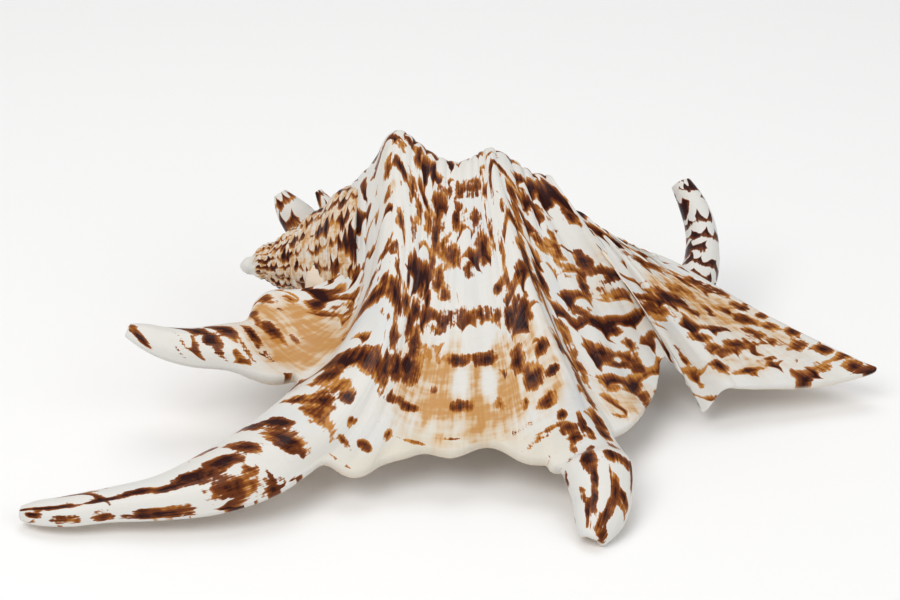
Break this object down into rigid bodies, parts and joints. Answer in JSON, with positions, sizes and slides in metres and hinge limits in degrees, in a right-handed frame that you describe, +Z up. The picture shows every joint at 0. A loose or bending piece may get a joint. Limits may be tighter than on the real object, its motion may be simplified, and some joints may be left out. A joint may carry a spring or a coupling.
{
  "type": "spider conch shell",
  "caption": "Spider conch seashell with a flared, fingered lip, a humped ribbed back and a short spire, lying on its opening.",
  "frame": {"origin": "middle of the footprint's bounding box, on the surface the shell lies on", "axes": "+X from the tip of the spire towards the siphon end, -Y towards the free edge of the lip, +Z up from the opening to the humped back"},
  "size_m": [0.1914, 0.1112, 0.0625],
  "materials": {
    "shell": "glossy natural shell, blue-white to cream with scalloped rows of dark brown marks edged in amber"
  },
  "bodies": {
    "root": {"shell": "shell"}
  },
  "joints": []
}
